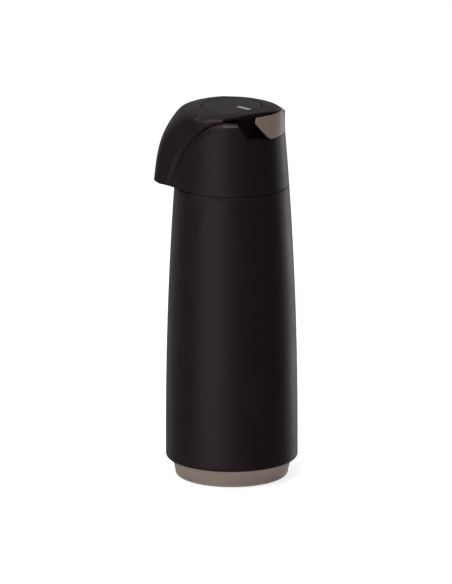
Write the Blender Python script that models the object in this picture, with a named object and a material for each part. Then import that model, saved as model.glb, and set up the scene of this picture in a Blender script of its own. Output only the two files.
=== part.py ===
"""Slim pump airpot: a glass vacuum flask in a tapered plastic casing on a bayonet base cup, with a
screw-on pump head that has a spout, a press button that twists to lock, and a grip at the back.

Metres, +Z up. The origin is the centre of the underside. The spout points to -Y, the grip to +Y.
"""

import math

import bmesh
import bpy
from mathutils import Matrix, Vector

MM = 0.001

# Fits between pieces
GAP = 0.3 * MM  # between pieces that touch
RUNNING_GAP = 0.5 * MM  # round pieces that turn or slide
SEAM = 0.5 * MM  # open line between casing and head
PAST = 10.0 * MM  # how far cutters run past what they cut

# Casing: a straight skirt that turns into a long shallow arc
CASING_RADIUS = 58.4 * MM
CASING_BOTTOM = 16.4 * MM
CASING_TOP = 264.4 * MM
CASING_WALL = 2.0 * MM
TAPER_START = 40.0 * MM
TAPER_DRAW = 7.653 * MM  # how much slimmer the casing is at its top
TAPER_ARC = (CASING_TOP - TAPER_START) ** 2 / (2 * TAPER_DRAW)
CASING_CORNER = 1.6 * MM
CASING_LIP = 2.4 * MM  # height of the inward lip that the base locks under
CASING_LIP_REACH = 2.2 * MM

# Base cup
BASE_RADIUS = CASING_RADIUS - 9.1 * MM
BASE_FLARE = 3.6 * MM  # how far its side leans out below the casing
BASE_FLOOR = 3.0 * MM
BASE_WALL = 2.4 * MM
BASE_NECK_HEIGHT = 14.0 * MM
BASE_EDGE = 3.0 * MM
LUG_COUNT = 3
LUG_DEPTH = 1.4 * MM
LUG_HEIGHT = 3.0 * MM
LUG_ANGLE = math.radians(14)
NOTCH_ANGLE = LUG_ANGLE + math.radians(3)
LOCK_ANGLE = math.radians(30)  # turn from locked to released
FOOT_INNER = BASE_RADIUS - 13.3 * MM
FOOT_OUTER = BASE_RADIUS - 6.3 * MM
FOOT_DEPTH = 1.4 * MM

# Glass flask
FLASK_RADIUS = CASING_RADIUS - 12.4 * MM
FLASK_BOTTOM = CASING_BOTTOM + 3.6 * MM
FLASK_SHOULDER = CASING_TOP - 52.4 * MM
FLASK_DOME = 26.0 * MM
SHOULDER_HEIGHT = 30.0 * MM
GLASS = 1.3 * MM
VACUUM = 4.2 * MM
MOUTH_RADIUS = 19.0 * MM
MOUTH_TOP = CASING_TOP - 2.4 * MM
SPACER_COUNT = 3
SPACER_SIZE = 9.0 * MM
SPACER_HEIGHT = 70.0 * MM
SPACER_PLAY = 1.0 * MM
CUSHION_RADIUS = FLASK_RADIUS - 19.0 * MM

# Collar between casing, flask and head
NECK_INNER = MOUTH_RADIUS + 10.5 * MM
NECK_WALL = 3.1 * MM
NECK_TOP = CASING_TOP + 8.0 * MM
COLLAR_DEPTH = 10.0 * MM
COLLAR_FLANGE = 2.6 * MM
COLLAR_HOLE = MOUTH_RADIUS + 5.0 * MM
COLLAR_DROP = 1.0 * MM  # how far the flange lies below the casing's rim
COLLAR_PLAY = 0.8 * MM

# Head
HEAD_BOTTOM = CASING_TOP + SEAM
HEAD_WALL = 2.2 * MM
SPOUT_REACH = CASING_RADIUS + 10.3 * MM
SPOUT_RISE = 3.8 * MM  # how far the rim climbs from the seam to the spout's tip
WEDGE = math.radians(42)  # half angle between the spout's flanks
TOP = HEAD_BOTTOM + 71.5 * MM
CROWN_EDGE_HEIGHT = TOP - 2.8 * MM
CROWN_EDGE_RADIUS = CASING_RADIUS - 13.1 * MM
SPINE_HANDLES = (
    (SPOUT_REACH - 3.0 * MM, TOP - 37.6 * MM),
    (SPOUT_REACH - 6.0 * MM, TOP - 22.2 * MM),
)
PARTING = TOP - 5.4 * MM
RIDGE = (
    (SPOUT_REACH - 12.2 * MM, HEAD_BOTTOM - 2.9 * MM),
    (SPOUT_REACH - 14.2 * MM, HEAD_BOTTOM + 25.1 * MM),
    (SPOUT_REACH - 35.7 * MM, PARTING - 3.0 * MM),
    (5.0 * MM, PARTING),
)
HOOD_BACK = CROWN_EDGE_RADIUS - 3.1 * MM
HOOD_TAIL = (
    (-8.2 * MM, CROWN_EDGE_RADIUS - 1.0 * MM),
    (0.8 * MM, CROWN_EDGE_RADIUS - 10.0 * MM),
    (HOOD_BACK, 25.0 * MM),
    (HOOD_BACK, 0.0),
)

# Finger recess and grip at the back
RECESS_FLOOR = TOP - 23.2 * MM
RECESS_FRONT = 4.0 * MM
RECESS_SLOPE = 0.63
BUTTON_RADIUS = 26.2 * MM
BUTTON_HOLE = BUTTON_RADIUS + 0.8 * MM
WELL_RADIUS = BUTTON_HOLE + 4.5 * MM
WELL_WALL = 2.2 * MM
GRIP_THICKNESS = 2.0 * MM
GRIP_TOP = TOP - 4.2 * MM
GRIP_OFFSET = 3.0 * MM  # outside of the grip beyond the hood's edge
GRIP_ANGLE_LOW = math.radians(44)
GRIP_ANGLE_HIGH = math.radians(58)
GRIP_TURN_SHARE = 0.75  # share of its height at which the grip is widest
GRIP_TOP_TAPER = math.radians(3)
GRIP_LEAN = 1.3  # power of the grip's draw-in towards the hood
ARCH_THICKNESS = 2.8 * MM
ARCH_GAP = 0.4 * MM  # between the grip and the arch behind it
ARCH_INSET = math.radians(4)

# Button, sleeve and pump
BUTTON_DEPTH = 20.0 * MM
BUTTON_WALL = 1.8 * MM
BUTTON_EDGE = 0.6 * MM
BUTTON_POST = 11.0 * MM
STROKE = 16.0 * MM
SLEEVE_WALL = 1.8 * MM
PLATE_BOTTOM = HEAD_BOTTOM + 20.1 * MM
SLEEVE_BOTTOM = PLATE_BOTTOM + 7.0 * MM
KEY_WIDTH = 4.0 * MM
KEY_HEIGHT = 8.0 * MM
KEY_REACH = 1.6 * MM
KEY_LIFT = 0.5 * MM
KEY_ROOT = 0.4 * MM
SLOT_END = 4.0 * MM  # how far the key slots run past the key's travel
POINTER_START = 7.5 * MM
POINTER_END = BUTTON_RADIUS - 3.3 * MM
POINTER_WIDTH = 3.8 * MM
POINTER_DEPTH = 0.8 * MM
POINTER_PROUD = 0.1 * MM
POINTER_ANGLE = math.radians(45)
PLATE_THICKNESS = 2.7 * MM
PLATE_PLAY = 1.2 * MM
PLATE_RIM_PLAY = 0.4 * MM
AIR_HOLE_RADIUS = 1.6 * MM
BELLOWS_OUTER = BUTTON_RADIUS - 2.2 * MM
BELLOWS_INNER = BELLOWS_OUTER - 4.5 * MM
AIR_HOLE_PLACE = BELLOWS_INNER - 3.0 * MM
BELLOWS_WALL = 0.8 * MM
BELLOWS_FOLDS = 5
BELLOWS_TOP = TOP - 18.4 * MM
CAP_THICKNESS = 2.0 * MM
SPRING_RADIUS = BELLOWS_INNER - 5.5 * MM
SPRING_WIRE = 0.7 * MM
SPRING_TURNS = 6
VALVE_DISC_RADIUS = 6.0 * MM
VALVE_DISC = 1.0 * MM
VALVE_TRAVEL = 1.5 * MM
CAGE_WALL = 1.5 * MM
CAGE_LIP = 1.0 * MM
CAGE_DEPTH = VALVE_DISC + VALVE_TRAVEL + 2.6 * MM
INTAKE_RADIUS = 3.5 * MM
SCREW_CIRCLE = CASING_RADIUS - 16.0 * MM
SCREW_RADIUS = 1.5 * MM
SCREW_COUNT = 4
SCREW_LENGTH = 10.0 * MM
SCREW_HEAD_RADIUS = 2.8 * MM
SCREW_HEAD_EDGE = 2.0 * MM
SCREW_HEAD = 2.2 * MM
BOSS_RADIUS = 5.1 * MM
BOSS_HEIGHT = 12.0 * MM
BOSS_END = 2.0 * MM  # solid end above a screw's pilot hole

# Liquid path
BALL_RADIUS = 4.5 * MM
STEM_BORE = BALL_RADIUS + 2.3 * MM
STEM_RADIUS = STEM_BORE + 2.2 * MM
STEM_FLANGE_TOP = CASING_TOP + 4.2 * MM
STEM_FLANGE = 2.6 * MM
STEM_BOTTOM = CASING_TOP - 14.4 * MM
BALL_SEAT = CASING_TOP + 3.6 * MM
SEAT_DEPTH = 2.0 * MM
SEAT_LENGTH = 6.0 * MM
SEAT_HOLE = 0.7 * BALL_RADIUS
STEM_DRAFT = 2.0 * MM
TUBE_RADIUS = 4.0 * MM
TUBE_WALL = 1.0 * MM
TUBE_BOTTOM = 46.0 * MM
PIPE_RADIUS = 4.4 * MM
PIPE_WALL = 1.1 * MM
PIPE_HEIGHT = HEAD_BOTTOM + 14.7 * MM
NOZZLE_REACH = SPOUT_REACH - 11.7 * MM
NOZZLE_RADIUS = 6.0 * MM
NOZZLE_BORE = 4.5 * MM
NOZZLE_BOTTOM = HEAD_BOTTOM + 0.7 * MM
NOZZLE_TOP = HEAD_BOTTOM + 8.1 * MM
NOZZLE_FLANGE_REACH = 1.6 * MM
NOZZLE_FLANGE = 1.4 * MM
UNDERPLATE_BOTTOM = HEAD_BOTTOM + 1.7 * MM
UNDERPLATE = 2.0 * MM
UNDERPLATE_PLAY = 0.2 * MM
SKIRT_WALL = 2.4 * MM
SKIRT_RISE = 1.0 * MM  # how far the skirt stands above the collar's neck
GASKET_INNER = MOUTH_RADIUS - 2.0 * MM
GASKET_OUTER = MOUTH_RADIUS + 8.0 * MM

# Facets
LARGE_STEPS = 40
SMALL_STEPS = 24
NOSE_STEPS = 5
ROUND_STEPS = 16

BLACK_PLASTIC = ("black_plastic", (0.018, 0.016, 0.0165), 0.5, 0.0)
TAUPE_PLASTIC = ("taupe_plastic", (0.252, 0.190, 0.166), 0.55, 0.0)
NATURAL_PLASTIC = ("natural_plastic", (0.70, 0.70, 0.66), 0.45, 0.0)
GREY_INLAY = ("grey_inlay", (0.55, 0.54, 0.53), 0.4, 0.0)
DARK_RUBBER = ("dark_rubber", (0.03, 0.03, 0.03), 0.85, 0.0)
CLEAR_RUBBER = ("clear_rubber", (0.62, 0.60, 0.55), 0.6, 0.0)
SILVERED_GLASS = ("silvered_glass", (0.80, 0.81, 0.83), 0.08, 1.0)
STEEL = ("steel", (0.56, 0.56, 0.57), 0.3, 1.0)


# ---------------------------------------------------------------- helpers


def clear_scene():
    for thing in list(bpy.data.objects):
        bpy.data.objects.remove(thing)


def finish_material(finish):
    name, colour, roughness, metallic = finish
    found = bpy.data.materials.get(name)
    if found:
        return found
    made = bpy.data.materials.new(name)
    made.use_nodes = True
    shader = made.node_tree.nodes["Principled BSDF"]
    shader.inputs["Base Color"].default_value = (*colour, 1.0)
    shader.inputs["Roughness"].default_value = roughness
    shader.inputs["Metallic"].default_value = metallic
    return made


def add_object(name, mesh, finish, parent=None, place=(0.0, 0.0, 0.0), turn=0.0):
    thing = bpy.data.objects.new(name, mesh)
    bpy.context.scene.collection.objects.link(thing)
    if finish:
        mesh.materials.append(finish_material(finish))
    thing.location = place
    thing.rotation_euler = (0.0, 0.0, turn)
    thing.parent = parent
    return thing


def add_empty(name, parent=None, place=(0.0, 0.0, 0.0)):
    empty = bpy.data.objects.new(name, None)
    bpy.context.scene.collection.objects.link(empty)
    empty.location = place
    empty.parent = parent
    return empty


def closed_mesh(name, shape, smooth_angle=math.radians(35)):
    """Weld, turn the faces out and shade a bmesh, then hand it over as a mesh."""
    bmesh.ops.remove_doubles(shape, verts=shape.verts, dist=1e-7)
    bmesh.ops.recalc_face_normals(shape, faces=shape.faces)
    mesh = bpy.data.meshes.new(name)
    shape.to_mesh(mesh)
    shape.free()
    mesh.shade_smooth()
    mesh.set_sharp_from_angle(angle=smooth_angle)
    return mesh


def turned_mesh(name, profile, steps):
    """Spin a closed outline of (radius, height) points about the Z axis."""
    shape = bmesh.new()
    corners = [shape.verts.new((radius, 0.0, height)) for radius, height in profile]
    edges = [shape.edges.new((corners[i - 1], corners[i])) for i in range(len(corners))]
    on_axis = [edge for edge in edges if all(corner.co.x < 1e-9 for corner in edge.verts)]
    kept = [edge for edge in edges if edge not in on_axis]
    bmesh.ops.spin(
        shape,
        geom=corners + kept,
        cent=(0.0, 0.0, 0.0),
        axis=(0.0, 0.0, 1.0),
        angle=math.tau,
        steps=steps,
        use_merge=True,
    )
    bmesh.ops.delete(shape, geom=[edge for edge in shape.edges if not edge.link_faces], context="EDGES")
    return closed_mesh(name, shape)


def rings_mesh(name, rings, loop=False):
    """Join rings of points with equal counts; the ends are closed unless the rings run in a loop."""
    shape = bmesh.new()
    rows = [[shape.verts.new(point) for point in ring] for ring in rings]
    count = len(rows[0])
    pairs = list(zip(rows, rows[1:]))
    if loop:
        pairs.append((rows[-1], rows[0]))
    for low, high in pairs:
        for i in range(count):
            j = (i + 1) % count
            shape.faces.new((low[i], low[j], high[j], high[i]))
    if not loop:
        shape.faces.new(rows[0])
        shape.faces.new(rows[-1])
    return closed_mesh(name, shape)


def prism_mesh(name, outline, low, high, axis):
    """Extrude a closed outline along X, where it holds (y, z), or along Z, where it holds (x, y)."""
    if axis == "X":
        rings = [[(end, a, b) for a, b in outline] for end in (low, high)]
    else:
        rings = [[(a, b, end) for a, b in outline] for end in (low, high)]
    return rings_mesh(name, rings)


def add_cutter(name, mesh, parent=None, place=(0.0, 0.0, 0.0), turn=0.0):
    cutter = add_object(name, mesh, None, parent, place, turn)
    cutter.hide_render = True
    cutter.display_type = "WIRE"
    return cutter


def cut(thing, tool, operation="DIFFERENCE"):
    step = thing.modifiers.new(tool.name, "BOOLEAN")
    step.operation = operation
    step.object = tool


def arc_points(centre, radius, start, end, steps):
    """Points on an arc in the (radius, height) plane, angles in degrees from the outward direction."""
    points = []
    for i in range(steps + 1):
        angle = math.radians(start + (end - start) * i / steps)
        points.append((centre[0] + radius * math.cos(angle), centre[1] + radius * math.sin(angle)))
    return points


def bezier(corners, share):
    """Point at a share from 0 to 1 along a cubic curve with four corners."""
    a, b, c, d = (Vector(corner) for corner in corners)
    rest = 1.0 - share
    return a * rest**3 + b * 3 * rest**2 * share + c * 3 * rest * share**2 + d * share**3


def ring_profile(inner, outer, low, high):
    return [(outer, high), (outer, low), (inner, low), (inner, high)]


def tube_rings(path, outer, inner, sides):
    """Rings of a bent tube, out along its outside and back along its bore."""
    count = len(path)
    outside = []
    bore = []
    for i, point in enumerate(path):
        along = (path[min(i + 1, count - 1)] - path[max(i - 1, 0)]).normalized()
        side = Vector((1.0, 0.0, 0.0))
        up = side.cross(along).normalized()
        for rings, radius in ((outside, outer), (bore, inner)):
            ring = []
            for k in range(sides):
                angle = math.tau * k / sides
                ring.append(point + radius * (side * math.cos(angle) + up * math.sin(angle)))
            rings.append(ring)
    return outside + bore[::-1]


# ---------------------------------------------------------------- shared shapes


def outer_radius(height):
    """Outside radius of the casing and of the head above it."""
    return CASING_RADIUS - max(0.0, height - TAPER_START) ** 2 / (2 * TAPER_ARC)


def spine_corners():
    """The hood's front edge seen from the side, from the spout's tip up to the crown."""
    tip = (SPOUT_REACH, HEAD_BOTTOM + SPOUT_RISE)
    crown = (CROWN_EDGE_RADIUS, CROWN_EDGE_HEIGHT)
    return (tip, *SPINE_HANDLES, crown)


def spine_reach(height):
    """How far the hood reaches forward at a height, by halving the curve's share."""
    low, high = 0.0, 1.0
    for _ in range(40):
        middle = (low + high) / 2
        if bezier(spine_corners(), middle)[1] < height:
            low = middle
        else:
            high = middle
    return bezier(spine_corners(), low)[0]


def teardrop(radius, tip):
    """Outline of the head: a circle with straight flanks and a round nose towards -Y."""
    centre = max(0.0, (tip - radius) / (1.0 - math.sin(WEDGE)))
    nose = tip - centre
    tangent = math.pi / 2 - WEDGE
    half = []
    for i in range(NOSE_STEPS + 1):
        angle = tangent * i / NOSE_STEPS
        half.append((nose * math.sin(angle), -centre - nose * math.cos(angle)))
    for i in range(ROUND_STEPS + 1):
        angle = tangent + (math.pi - tangent) * i / ROUND_STEPS
        half.append((radius * math.sin(angle), -radius * math.cos(angle)))
    return half + [(-x, y) for x, y in half[-2:0:-1]]


def head_rings(inset, levels):
    """Rings of the head's outside, or of its inside when inset by the wall."""
    tip_height = HEAD_BOTTOM + SPOUT_RISE
    rings = []
    for level in levels:
        nominal = max(level, tip_height)
        fade = 1.0 - (nominal - tip_height) / (CROWN_EDGE_HEIGHT - tip_height)
        reach = spine_reach(nominal)
        outline = teardrop(outer_radius(nominal) - inset, reach - inset)
        round_start = (outer_radius(nominal) - inset) * math.sin(WEDGE)
        ring = []
        for x, y in outline:
            share = min(1.0, (reach - inset + y) / (reach - inset - round_start))
            height = level - SPOUT_RISE * fade * max(0.0, share)
            swell = outer_radius(height) / outer_radius(nominal) if -y < round_start else 1.0
            ring.append((x * swell, y * swell, height))
        rings.append(ring)
    return rings


def head_levels(top, count):
    low = HEAD_BOTTOM + SPOUT_RISE
    return [low + (top - low) * (1.0 - (1.0 - i / count) ** 1.5) for i in range(count + 1)]


def tail_outline(offset, steps=12):
    """Edge of the hood's tail: (x, y) points on the +X side, from the front to the tip."""
    points = []
    for i in range(steps + 1):
        here = bezier(HOOD_TAIL, i / steps)
        ahead = bezier(HOOD_TAIL, min(1.0, i / steps + 0.01))
        behind = bezier(HOOD_TAIL, max(0.0, i / steps - 0.01))
        along = (ahead - behind).normalized()
        points.append((here[1] + offset * along[0], here[0] - offset * along[1]))
    return points


def tail_radius(angle, offset):
    """Distance from the axis to the offset tail edge, at an angle from +Y."""
    edge = tail_outline(offset, 48)
    for (x1, y1), (x2, y2) in zip(edge, edge[1:]):
        first, second = math.atan2(x1, y1), math.atan2(x2, y2)
        if second <= abs(angle) <= first:
            share = (first - abs(angle)) / max(first - second, 1e-9)
            return math.hypot(x1 + (x2 - x1) * share, y1 + (y2 - y1) * share)
    return math.hypot(*edge[0])


# ---------------------------------------------------------------- base


def make_base_cup(parent):
    top = CASING_BOTTOM - GAP
    neck_radius = casing_lip_radius() - RUNNING_GAP
    neck_top = top + BASE_NECK_HEIGHT
    shoulder = BASE_RADIUS + BASE_FLARE
    foot_floor = FOOT_DEPTH + GAP
    profile = [
        (neck_radius, neck_top),
        (neck_radius, top),
        (shoulder, top - GAP),
        *arc_points((BASE_RADIUS - BASE_EDGE, BASE_EDGE), BASE_EDGE, 0, -90, 3),
        (FOOT_OUTER + GAP, 0.0),
        (FOOT_OUTER + GAP, foot_floor),
        (FOOT_INNER - GAP, foot_floor),
        (FOOT_INNER - GAP, 0.0),
        (0.0, 0.0),
        (0.0, BASE_FLOOR + foot_floor),
        (BASE_RADIUS - BASE_WALL - BASE_EDGE, BASE_FLOOR + foot_floor),
        (shoulder - BASE_WALL, top - BASE_WALL),
        (neck_radius - BASE_WALL, top),
        (neck_radius - BASE_WALL, neck_top),
    ]
    cup = add_object("base_cup", turned_mesh("base_cup", profile, LARGE_STEPS), TAUPE_PLASTIC, parent)
    lug_low = CASING_BOTTOM + CASING_LIP + GAP
    lug_root = neck_radius - BASE_WALL / 2
    lug_tip = neck_radius + LUG_DEPTH
    for i in range(LUG_COUNT):
        lug = sector_mesh("lug", lug_root, lug_tip, lug_low, lug_low + LUG_HEIGHT, LUG_ANGLE)
        cut(cup, add_cutter(f"lug_{i + 1}", lug, parent, turn=math.tau * i / LUG_COUNT), "UNION")
    return cup


def sector_mesh(name, inner, outer, low, high, angle, steps=3):
    """A block bent round the axis, centred on +X."""
    rings = []
    for i in range(steps + 1):
        turn = Matrix.Rotation(angle * (i / steps - 0.5), 3, "Z")
        corners = ring_profile(inner, outer, low, high)
        rings.append([turn @ Vector((radius, 0.0, height)) for radius, height in corners])
    return rings_mesh(name, rings)


def make_foot_ring(parent):
    mesh = turned_mesh("foot_ring", ring_profile(FOOT_INNER, FOOT_OUTER, 0.0, FOOT_DEPTH), LARGE_STEPS)
    return add_object("foot_ring", mesh, DARK_RUBBER, parent)


def make_flask_cushion(parent):
    low = BASE_FLOOR + FOOT_DEPTH + 2 * GAP
    seat = FLASK_BOTTOM - GAP
    rim_height = flask_bottom_height(CUSHION_RADIUS, FLASK_RADIUS) - GAP
    half = CUSHION_RADIUS / 2
    profile = [
        (CUSHION_RADIUS, rim_height),
        (CUSHION_RADIUS, low),
        (0.0, low),
        (0.0, seat),
        (half, flask_bottom_height(half, FLASK_RADIUS) - 2 * GAP),
    ]
    mesh = turned_mesh("flask_cushion", profile, SMALL_STEPS)
    return add_object("flask_cushion", mesh, CLEAR_RUBBER, parent)


# ---------------------------------------------------------------- casing and flask


def casing_lip_radius():
    return CASING_RADIUS - CASING_WALL - CASING_LIP_REACH


def make_outer_casing(parent):
    heights = [TAPER_START + (CASING_TOP - TAPER_START) * i / 6 for i in range(7)]
    outside = [(outer_radius(height), height) for height in reversed(heights)]
    inside = [(radius - CASING_WALL, height) for radius, height in reversed(outside)]
    lip = casing_lip_radius()
    lip_top = CASING_BOTTOM + CASING_LIP
    corner = (CASING_RADIUS - CASING_CORNER, CASING_BOTTOM + CASING_CORNER)
    profile = [
        *outside,
        *arc_points(corner, CASING_CORNER, 0, -90, 3),
        (lip, CASING_BOTTOM),
        (lip, lip_top),
        (CASING_RADIUS - CASING_WALL, lip_top),
        *inside,
    ]
    mesh = turned_mesh("outer_casing", profile, LARGE_STEPS)
    casing = add_object("outer_casing", mesh, BLACK_PLASTIC, parent)
    notch_low = CASING_BOTTOM - CASING_LIP
    notch_high = lip_top + CASING_LIP
    for i in range(LUG_COUNT):
        notch = sector_mesh("notch", lip - CASING_WALL, lip + LUG_DEPTH, notch_low, notch_high, NOTCH_ANGLE)
        turn = math.tau * i / LUG_COUNT - LOCK_ANGLE
        cut(casing, add_cutter(f"lug_notch_{i + 1}", notch, parent, turn=turn))
    return casing


def make_shoulder_collar(parent):
    top = CASING_TOP - GAP
    low = top - COLLAR_DEPTH
    neck = NECK_INNER + NECK_WALL
    fit = CASING_WALL + GAP
    profile = [
        (neck, NECK_TOP),
        (neck, top - COLLAR_DROP),
        (outer_radius(top) - fit - COLLAR_PLAY, top - COLLAR_DROP),
        (outer_radius(low) - fit - COLLAR_PLAY, low),
        (outer_radius(low) - fit - COLLAR_FLANGE, low),
        (outer_radius(top) - fit - COLLAR_FLANGE, top - COLLAR_FLANGE - COLLAR_DROP),
        (neck, top - COLLAR_FLANGE - COLLAR_DROP),
        (neck, low),
        (COLLAR_HOLE, low),
        (COLLAR_HOLE, low + COLLAR_FLANGE),
        (NECK_INNER, low + COLLAR_FLANGE),
        (NECK_INNER, NECK_TOP),
    ]
    mesh = turned_mesh("shoulder_collar", profile, LARGE_STEPS)
    return add_object("shoulder_collar", mesh, BLACK_PLASTIC, parent)


def flask_bottom_height(radius, body_radius, base=FLASK_BOTTOM):
    """Height of a flask's domed bottom at a radius."""
    share = min(1.0, radius / body_radius)
    return base + FLASK_DOME * (1.0 - math.sqrt(1.0 - share**2))


def flask_outline(inset, neck):
    """Outside or inside of a flask wall, from the middle of its bottom to its mouth."""
    body = FLASK_RADIUS - inset
    base = FLASK_BOTTOM + inset
    points = [(0.0, base)]
    for share in (0.4, 0.7, 0.88, 0.97):
        points.append((body * share, flask_bottom_height(body * share, body, base)))
    points.append((body, base + FLASK_DOME))
    points.append((body, FLASK_SHOULDER))
    for i in range(1, 6):
        share = i / 5
        radius = body + (neck - body) * (1.0 - math.cos(math.pi * share)) / 2
        points.append((radius, FLASK_SHOULDER + (SHOULDER_HEIGHT - inset) * share))
    points.append((neck, MOUTH_TOP))
    return points


def make_flask(parent):
    inner_neck = MOUTH_RADIUS
    outer_neck = MOUTH_RADIUS + GLASS + GAP
    layers = (
        ("flask_inner_glass", GLASS + VACUUM, inner_neck + GLASS, inner_neck),
        ("flask_outer_glass", 0.0, outer_neck + GLASS, outer_neck),
    )
    made = []
    for name, inset, outside, inside in layers:
        wall_out = flask_outline(inset, outside)
        wall_in = flask_outline(inset + GLASS, inside)
        mesh = turned_mesh(name, wall_out + wall_in[::-1], SMALL_STEPS + 8)
        made.append(add_object(name, mesh, SILVERED_GLASS, parent))
    return made


def make_flask_spacers(parent):
    outer = FLASK_RADIUS - GLASS - SPACER_PLAY
    inner = FLASK_RADIUS - GLASS - VACUUM + GAP
    low = SPACER_HEIGHT
    for i in range(SPACER_COUNT):
        mesh = sector_mesh("spacer", inner, outer, low, low + SPACER_SIZE, SPACER_SIZE / outer, 2)
        add_object(f"flask_spacer_{i + 1}", mesh, CLEAR_RUBBER, parent, turn=math.tau * i / SPACER_COUNT)


def make_neck_cushion(parent):
    """Soft ring that centres the flask's neck under the collar."""
    high = CASING_TOP - GAP - COLLAR_DEPTH - GAP
    low = FLASK_SHOULDER + SHOULDER_HEIGHT + GAP
    inner = MOUTH_RADIUS + 2 * GLASS + 2 * GAP
    mesh = turned_mesh("neck_cushion", ring_profile(inner, NECK_INNER, low, high), SMALL_STEPS + 8)
    return add_object("neck_cushion", mesh, CLEAR_RUBBER, parent)


def make_head_gasket(parent):
    low = MOUTH_TOP + GAP
    high = STEM_FLANGE_TOP - STEM_FLANGE - GAP
    mesh = turned_mesh("head_gasket", ring_profile(GASKET_INNER, GASKET_OUTER, low, high), SMALL_STEPS + 8)
    return add_object("head_gasket", mesh, CLEAR_RUBBER, parent)


# ---------------------------------------------------------------- head shells


def head_solid():
    """The head's whole outside: lofted up to the crown, then the shallow crown up to the button."""
    rings = head_rings(0.0, head_levels(CROWN_EDGE_HEIGHT, 10))
    draw_in = BUTTON_HOLE / CROWN_EDGE_RADIUS
    crown = [(x * draw_in, y * draw_in, TOP) for x, y, _ in rings[-1]]
    return rings_mesh("head_outside", rings + [crown])


def head_hollow(name, top, parent):
    levels = head_levels(top, 9)
    rings = head_rings(HEAD_WALL, levels)
    below = [(x, y, z - PAST) for x, y, z in rings[0]]
    return add_cutter(name, rings_mesh(name, [below] + rings), parent)


def ridge_outline(shift, upper):
    """Side view, as (y, z), of all that lies above the ridge line, or below it."""
    far = 0.12
    points = []
    for i in range(13):
        here = bezier(RIDGE, i / 12)
        ahead = bezier(RIDGE, min(1.0, i / 12 + 0.01))
        behind = bezier(RIDGE, max(0.0, i / 12 - 0.01))
        along = (ahead - behind).normalized()
        points.append((-here[0] - shift * along[1], here[1] - shift * along[0]))
    back = (far, points[-1][1])
    if upper:
        return points + [back, (far, 2 * TOP), (-far, 2 * TOP), (-far, points[0][1])]
    return points + [back, (far, CASING_BOTTOM), (points[0][0], CASING_BOTTOM)]


def recess_box(name, front, floor, parent):
    """Everything above the recess floor and behind its leaning front wall."""
    far = 0.12
    lean = RECESS_SLOPE
    outline = [
        (front + lean * (PARTING - floor), floor),
        (far, floor),
        (far, 2 * TOP - floor),
        (front - lean * (2 * TOP - floor - PARTING), 2 * TOP - floor),
    ]
    return add_cutter(name, prism_mesh(name, outline, -far, far, "X"), parent)


def round_cutter(name, radius, low, high, parent, place=(0.0, 0.0, 0.0), steps=LARGE_STEPS):
    profile = [(radius, high), (radius, low), (0.0, low), (0.0, high)]
    return add_cutter(name, turned_mesh(name, profile, steps), parent, place)


def make_hood(parent):
    hood = add_object("hood", head_solid(), BLACK_PLASTIC, parent)
    cut(hood, head_hollow("hood_hollow", PARTING - GAP / 2, parent))
    below = prism_mesh("below_ridge", ridge_outline(GAP / 2, False), -0.1, 0.1, "X")
    cut(hood, add_cutter("below_ridge", below, parent))
    side = tail_outline(0.0)
    tail = side + [(-x, y) for x, y in side[-2::-1]]
    front = side[0][1]
    wide = 0.1
    keep = [(side[0][0], front - GAP), *tail, (-side[0][0], front - GAP)]
    low = RECESS_FLOOR
    high = 2 * TOP - RECESS_FLOOR
    trim_outline = [(-wide, front), (wide, front), (wide, wide), (-wide, wide)]
    trim = add_cutter("tail_trim", prism_mesh("tail_trim", trim_outline, low, high, "Z"), parent)
    cut(trim, add_cutter("tail_keep", prism_mesh("tail_keep", keep, low - GAP, high + GAP, "Z"), parent))
    cut(hood, trim)
    cut(hood, round_cutter("button_hole", BUTTON_HOLE, PARTING - PAST, TOP + PAST, parent))
    return hood


def make_head_shell(parent):
    shell = add_object("head_shell", head_solid(), BLACK_PLASTIC, parent)
    above = prism_mesh("above_ridge", ridge_outline(-GAP / 2, True), -0.1, 0.1, "X")
    cut(shell, add_cutter("above_ridge", above, parent))
    hollow = head_hollow("shell_hollow", PARTING + MM, parent)
    skin = recess_box("recess_skin", RECESS_FRONT - WELL_WALL, RECESS_FLOOR - WELL_WALL, parent)
    cut(skin, round_cutter("well_inside", WELL_RADIUS - WELL_WALL, HEAD_BOTTOM, 2 * TOP, parent))
    cut(hollow, skin)
    cut(shell, hollow)
    recess = recess_box("recess", RECESS_FRONT, RECESS_FLOOR, parent)
    cut(recess, round_cutter("well_outside", WELL_RADIUS, HEAD_BOTTOM, 2 * TOP, parent))
    cut(shell, recess)
    cut(shell, add_cutter("grip_arch", grip_mesh("grip_arch", True), parent), "UNION")
    boss_low = PLATE_BOTTOM + PLATE_THICKNESS + GAP
    for i in range(SCREW_COUNT):
        place = screw_place(i)
        boss_high = boss_low + BOSS_HEIGHT
        boss = round_cutter(f"boss_{i + 1}", BOSS_RADIUS, boss_low, boss_high, parent, place, 14)
        cut(shell, boss, "UNION")
        pilot_high = boss_high - BOSS_END
        pilot_name = f"pilot_{i + 1}"
        pilot = round_cutter(pilot_name, SCREW_RADIUS + GAP, boss_low - MM, pilot_high, parent, place, 12)
        cut(shell, pilot)
    return shell


def screw_place(index):
    angle = math.tau * (index + 0.5) / SCREW_COUNT
    return (SCREW_CIRCLE * math.cos(angle), SCREW_CIRCLE * math.sin(angle), 0.0)


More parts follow.
